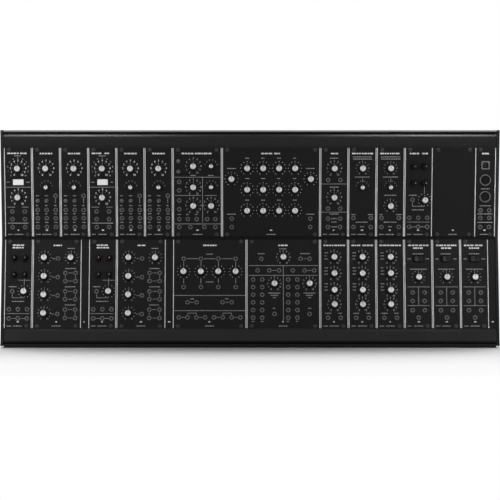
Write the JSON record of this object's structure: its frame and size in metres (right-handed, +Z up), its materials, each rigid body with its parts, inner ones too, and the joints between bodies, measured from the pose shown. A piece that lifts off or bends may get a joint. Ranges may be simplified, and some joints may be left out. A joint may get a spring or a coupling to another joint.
{
  "type": "modular synthesizer",
  "caption": "Two-row rack case of black synthesizer modules with turning knobs, rocker switches, jack sockets and a fold-out rear stand.",
  "frame": {"origin": "middle of the footprint at table height, under the rubber mat that the case stands on", "axes": "+X to the right seen from the front along the rows, +Y from the panels to the back wall, +Z up"},
  "size_m": [0.72, 0.1118, 0.3143],
  "materials": {
    "black_case": "fine satin black powder coat",
    "black_panel": "matte black anodised panel with pale printing",
    "rail_metal": "black anodised extrusion",
    "silver_knob": "black skirt with a satin silver cap",
    "white_switch": "white moulded plastic",
    "black_switch": "dark grey moulded plastic",
    "black_rubber": "matte black rubber",
    "green_board": "green solder mask",
    "inlet_plastic": "black moulded plastic"
  },
  "bodies": {
    "case": {"back_tray": "black_case", "left_cheek": "black_case", "right_cheek": "black_case", "top_rail": "black_case", "bottom_rail": "black_case", "middle_rail": "rail_metal", "base_mat": "black_rubber", "stand_bracket": "black_case", "power_bus_board": "green_board", "power_inlet": "inlet_plastic", "oscillator_bank_1": "black_panel", "oscillator_bank_2": "black_panel", "wave_module": "black_panel", "filter_bank_module": "black_panel", "noise_module": "black_panel", "lowpass_module": "black_panel", "highpass_module": "black_panel", "utility_module_1": "black_panel", "blank_panel": "black_panel", "midi_module": "black_panel", "utility_module_2": "black_panel", "mixer_module_1": "black_panel", "utility_module_3": "black_panel", "mixer_module_2": "black_panel", "voltage_module": "black_panel", "trigger_module": "black_panel", "envelope_module_1": "black_panel", "envelope_module_2": "black_panel", "envelope_module_3": "black_panel", "amplifier_module_1": "black_panel", "amplifier_module_2": "black_panel", "amplifier_module_3": "black_panel"},
    "stand": {"rear_stand": "black_case"},
    "power_switch": {"power_switch": "black_switch"},
    "driver_1_knob": {"driver_1_knob": "silver_knob"},
    "oscillator_1_knob": {"oscillator_1_knob": "silver_knob"},
    "oscillator_2_knob": {"oscillator_2_knob": "silver_knob"},
    "driver_2_knob": {"driver_2_knob": "silver_knob"},
    "oscillator_3_knob": {"oscillator_3_knob": "silver_knob"},
    "oscillator_4_knob": {"oscillator_4_knob": "silver_knob"},
    "wave_knob": {"wave_knob": "silver_knob"},
    "filter_bank_knob": {"filter_bank_knob": "silver_knob"},
    "noise_knob": {"noise_knob": "silver_knob"},
    "lowpass_knob": {"lowpass_knob": "silver_knob"},
    "highpass_knob": {"highpass_knob": "silver_knob"},
    "utility_1_knob": {"utility_1_knob": "silver_knob"},
    "utility_2_knob": {"utility_2_knob": "silver_knob"},
    "utility_3_knob": {"utility_3_knob": "silver_knob"},
    "mixer_1_knob": {"mixer_1_knob": "silver_knob"},
    "mixer_2_knob": {"mixer_2_knob": "silver_knob"},
    "voltage_knob": {"voltage_knob": "silver_knob"},
    "trigger_knob": {"trigger_knob": "silver_knob"},
    "envelope_1_knob": {"envelope_1_knob": "silver_knob"},
    "envelope_2_knob": {"envelope_2_knob": "silver_knob"},
    "envelope_3_knob": {"envelope_3_knob": "silver_knob"},
    "driver_1_rocker": {"driver_1_rocker": "white_switch"},
    "driver_2_rocker": {"driver_2_rocker": "white_switch"},
    "amplifier_1_rocker": {"amplifier_1_rocker": "black_switch"},
    "amplifier_2_rocker": {"amplifier_2_rocker": "black_switch"},
    "amplifier_3_rocker": {"amplifier_3_rocker": "black_switch"}
  },
  "joints": [
    {"name": "stand_hinge", "type": "hinge", "parent": "case", "child": "stand", "pos_m": [0, 0.05043, 0.222], "axis": [1, 0, 0], "range_deg": [0, 55]},
    {"name": "power_switch_tip", "type": "hinge", "parent": "case", "child": "power_switch", "pos_m": [0.2801, 0.04523, 0.06], "axis": [-1, 0, 0], "range_deg": [0, 14]},
    {"name": "driver_1_knob_turn", "type": "hinge", "parent": "case", "child": "driver_1_knob", "pos_m": [-0.33528, -0.04526, 0.25938], "axis": [0, 0.9962, 0.0872], "range_deg": [-150, 150]},
    {"name": "oscillator_1_knob_turn", "type": "hinge", "parent": "case", "child": "oscillator_1_knob", "pos_m": [-0.29464, -0.04526, 0.25938], "axis": [0, 0.9962, 0.0872], "range_deg": [-150, 150]},
    {"name": "oscillator_2_knob_turn", "type": "hinge", "parent": "case", "child": "oscillator_2_knob", "pos_m": [-0.254, -0.04526, 0.25938], "axis": [0, 0.9962, 0.0872], "range_deg": [-150, 150]},
    {"name": "driver_2_knob_turn", "type": "hinge", "parent": "case", "child": "driver_2_knob", "pos_m": [-0.21336, -0.04526, 0.25938], "axis": [0, 0.9962, 0.0872], "range_deg": [-150, 150]},
    {"name": "oscillator_3_knob_turn", "type": "hinge", "parent": "case", "child": "oscillator_3_knob", "pos_m": [-0.17272, -0.04526, 0.25938], "axis": [0, 0.9962, 0.0872], "range_deg": [-150, 150]},
    {"name": "oscillator_4_knob_turn", "type": "hinge", "parent": "case", "child": "oscillator_4_knob", "pos_m": [-0.13208, -0.04526, 0.25938], "axis": [0, 0.9962, 0.0872], "range_deg": [-150, 150]},
    {"name": "wave_knob_turn", "type": "hinge", "parent": "case", "child": "wave_knob", "pos_m": [-0.08189, -0.04554, 0.26258], "axis": [0, 0.9962, 0.0872], "range_deg": [-150, 150]},
    {"name": "filter_bank_knob_turn", "type": "hinge", "parent": "case", "child": "filter_bank_knob", "pos_m": [-0.0267, -0.04394, 0.24428], "axis": [0, 0.9962, 0.0872], "range_deg": [-150, 150]},
    {"name": "noise_knob_turn", "type": "hinge", "parent": "case", "child": "noise_knob", "pos_m": [0.12192, -0.04526, 0.25938], "axis": [0, 0.9962, 0.0872], "range_deg": [-150, 150]},
    {"name": "lowpass_knob_turn", "type": "hinge", "parent": "case", "child": "lowpass_knob", "pos_m": [0.16256, -0.04529, 0.25964], "axis": [0, 0.9962, 0.0872], "range_deg": [-150, 150]},
    {"name": "highpass_knob_turn", "type": "hinge", "parent": "case", "child": "highpass_knob", "pos_m": [0.2032, -0.04529, 0.25964], "axis": [0, 0.9962, 0.0872], "range_deg": [-150, 150]},
    {"name": "utility_1_knob_turn", "type": "hinge", "parent": "case", "child": "utility_1_knob", "pos_m": [0.25278, -0.04129, 0.21394], "axis": [0, 0.9962, 0.0872], "range_deg": [-150, 150]},
    {"name": "utility_2_knob_turn", "type": "hinge", "parent": "case", "child": "utility_2_knob", "pos_m": [-0.32634, -0.04319, 0.08154], "axis": [0, 0.9962, -0.0872], "range_deg": [-150, 150]},
    {"name": "utility_3_knob_turn", "type": "hinge", "parent": "case", "child": "utility_3_knob", "pos_m": [-0.20442, -0.04319, 0.08154], "axis": [0, 0.9962, -0.0872], "range_deg": [-150, 150]},
    {"name": "mixer_1_knob_turn", "type": "hinge", "parent": "case", "child": "mixer_1_knob", "pos_m": [-0.25913, -0.03894, 0.13019], "axis": [0, 0.9962, -0.0872], "range_deg": [-150, 150]},
    {"name": "mixer_2_knob_turn", "type": "hinge", "parent": "case", "child": "mixer_2_knob", "pos_m": [-0.13721, -0.03894, 0.13019], "axis": [0, 0.9962, -0.0872], "range_deg": [-150, 150]},
    {"name": "voltage_knob_turn", "type": "hinge", "parent": "case", "child": "voltage_knob", "pos_m": [-0.09608, -0.04071, 0.10996], "axis": [0, 0.9962, -0.0872], "range_deg": [-150, 150]},
    {"name": "trigger_knob_turn", "type": "hinge", "parent": "case", "child": "trigger_knob", "pos_m": [0.04826, -0.03888, 0.13083], "axis": [0, 0.9962, -0.0872], "range_deg": [-150, 150]},
    {"name": "envelope_1_knob_turn", "type": "hinge", "parent": "case", "child": "envelope_1_knob", "pos_m": [0.12192, -0.03888, 0.13083], "axis": [0, 0.9962, -0.0872], "range_deg": [-150, 150]},
    {"name": "envelope_2_knob_turn", "type": "hinge", "parent": "case", "child": "envelope_2_knob", "pos_m": [0.16256, -0.03888, 0.13083], "axis": [0, 0.9962, -0.0872], "range_deg": [-150, 150]},
    {"name": "envelope_3_knob_turn", "type": "hinge", "parent": "case", "child": "envelope_3_knob", "pos_m": [0.2032, -0.03888, 0.13083], "axis": [0, 0.9962, -0.0872], "range_deg": [-150, 150]},
    {"name": "driver_1_rocker_tip", "type": "hinge", "parent": "case", "child": "driver_1_rocker", "pos_m": [-0.33528, -0.04252, 0.2395], "axis": [0, 0.0872, -0.9962], "range_deg": [0, 14]},
    {"name": "driver_2_rocker_tip", "type": "hinge", "parent": "case", "child": "driver_2_rocker", "pos_m": [-0.21336, -0.04252, 0.2395], "axis": [0, 0.0872, -0.9962], "range_deg": [0, 14]},
    {"name": "amplifier_1_rocker_tip", "type": "hinge", "parent": "case", "child": "amplifier_1_rocker", "pos_m": [0.24384, -0.0381, 0.12831], "axis": [0, -0.0872, -0.9962], "range_deg": [0, 14]},
    {"name": "amplifier_2_rocker_tip", "type": "hinge", "parent": "case", "child": "amplifier_2_rocker", "pos_m": [0.28448, -0.0381, 0.12831], "axis": [0, -0.0872, -0.9962], "range_deg": [0, 14]},
    {"name": "amplifier_3_rocker_tip", "type": "hinge", "parent": "case", "child": "amplifier_3_rocker", "pos_m": [0.32512, -0.0381, 0.12831], "axis": [0, -0.0872, -0.9962], "range_deg": [0, 14]}
  ]
}
